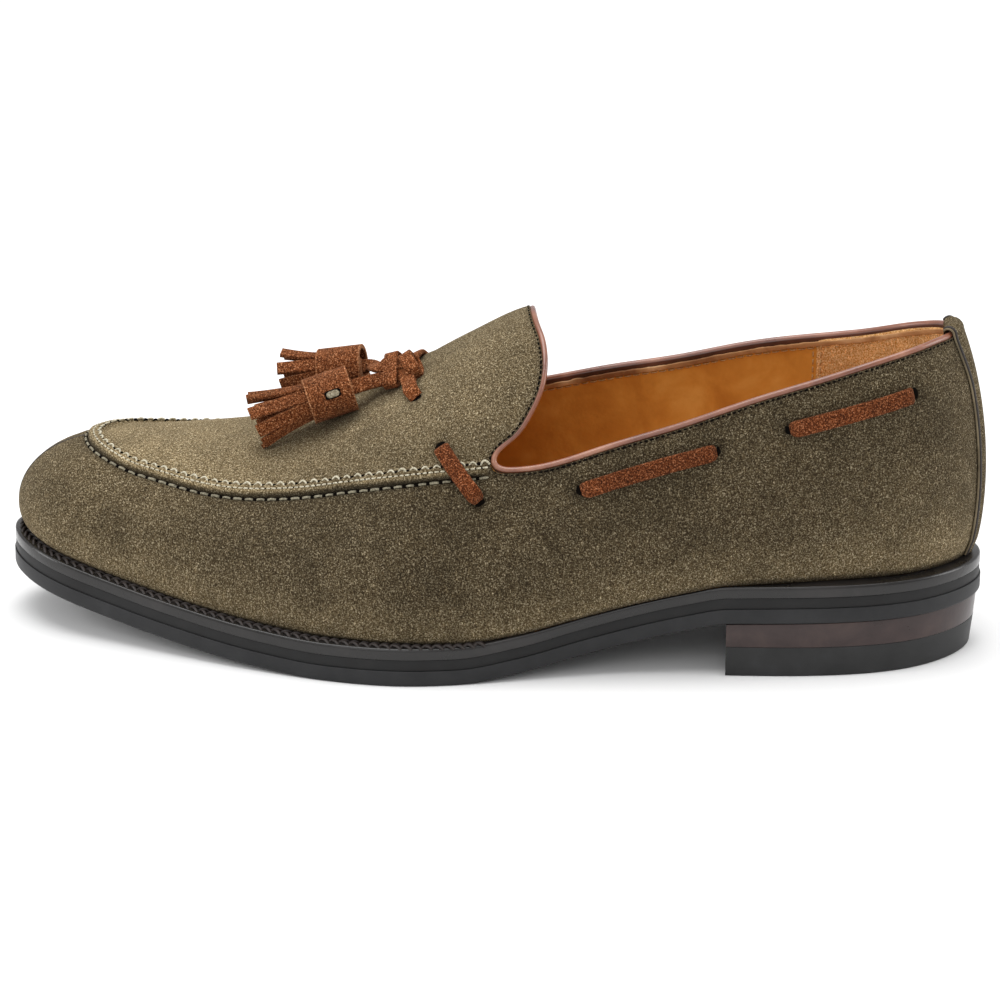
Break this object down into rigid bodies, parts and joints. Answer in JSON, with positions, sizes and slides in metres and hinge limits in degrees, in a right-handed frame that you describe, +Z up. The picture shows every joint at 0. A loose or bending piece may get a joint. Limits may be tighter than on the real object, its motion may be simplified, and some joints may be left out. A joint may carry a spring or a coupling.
{
  "type": "tassel loafer",
  "caption": "Slip-on dress shoe with a raised apron seam, side lacing, bow and two tassels, on a welted rubber sole with a stacked heel.",
  "frame": {"origin": "on the floor under the middle of the box round the shoe, measured without the lace's bow and tassels", "axes": "+X from the toe to the heel, +Z up, -Y towards the outer side of the foot"},
  "size_m": [0.2982, 0.1056, 0.101],
  "materials": {
    "olive_suede": "napped olive-brown suede",
    "rust_suede": "napped rust-brown suede",
    "brown_binding_leather": "smooth brown binding leather, satin",
    "tan_lining_leather": "smooth tan lining leather, satin",
    "dark_brown_welt_leather": "dark edge-inked welt leather",
    "black_midsole_rubber": "matt black rubber",
    "charcoal_outsole_rubber": "matt charcoal rubber",
    "brown_heel_leather": "dark brown stacked leather, waxed",
    "black_heel_rubber": "matt black rubber"
  },
  "bodies": {
    "root": {"upper": "olive_suede", "back_strap": "olive_suede", "lace_vamp_outer": "rust_suede", "lace_vamp_inner": "rust_suede", "lace_side_outer": "rust_suede", "lace_side_inner": "rust_suede", "lace_heel_outer": "rust_suede", "lace_heel_inner": "rust_suede", "lace_bridge": "rust_suede", "lace_knot": "rust_suede", "lace_sleeve": "rust_suede", "lace_end_near": "rust_suede", "lace_end_far": "rust_suede", "tassel_near_band": "rust_suede", "tassel_near_fringe": "rust_suede", "tassel_far_band": "rust_suede", "tassel_far_fringe": "rust_suede", "collar_binding": "brown_binding_leather", "insole": "tan_lining_leather", "welt": "dark_brown_welt_leather", "midsole": "black_midsole_rubber", "outsole": "charcoal_outsole_rubber", "heel_stack": "brown_heel_leather", "heel_top_lift": "black_heel_rubber"}
  },
  "joints": []
}
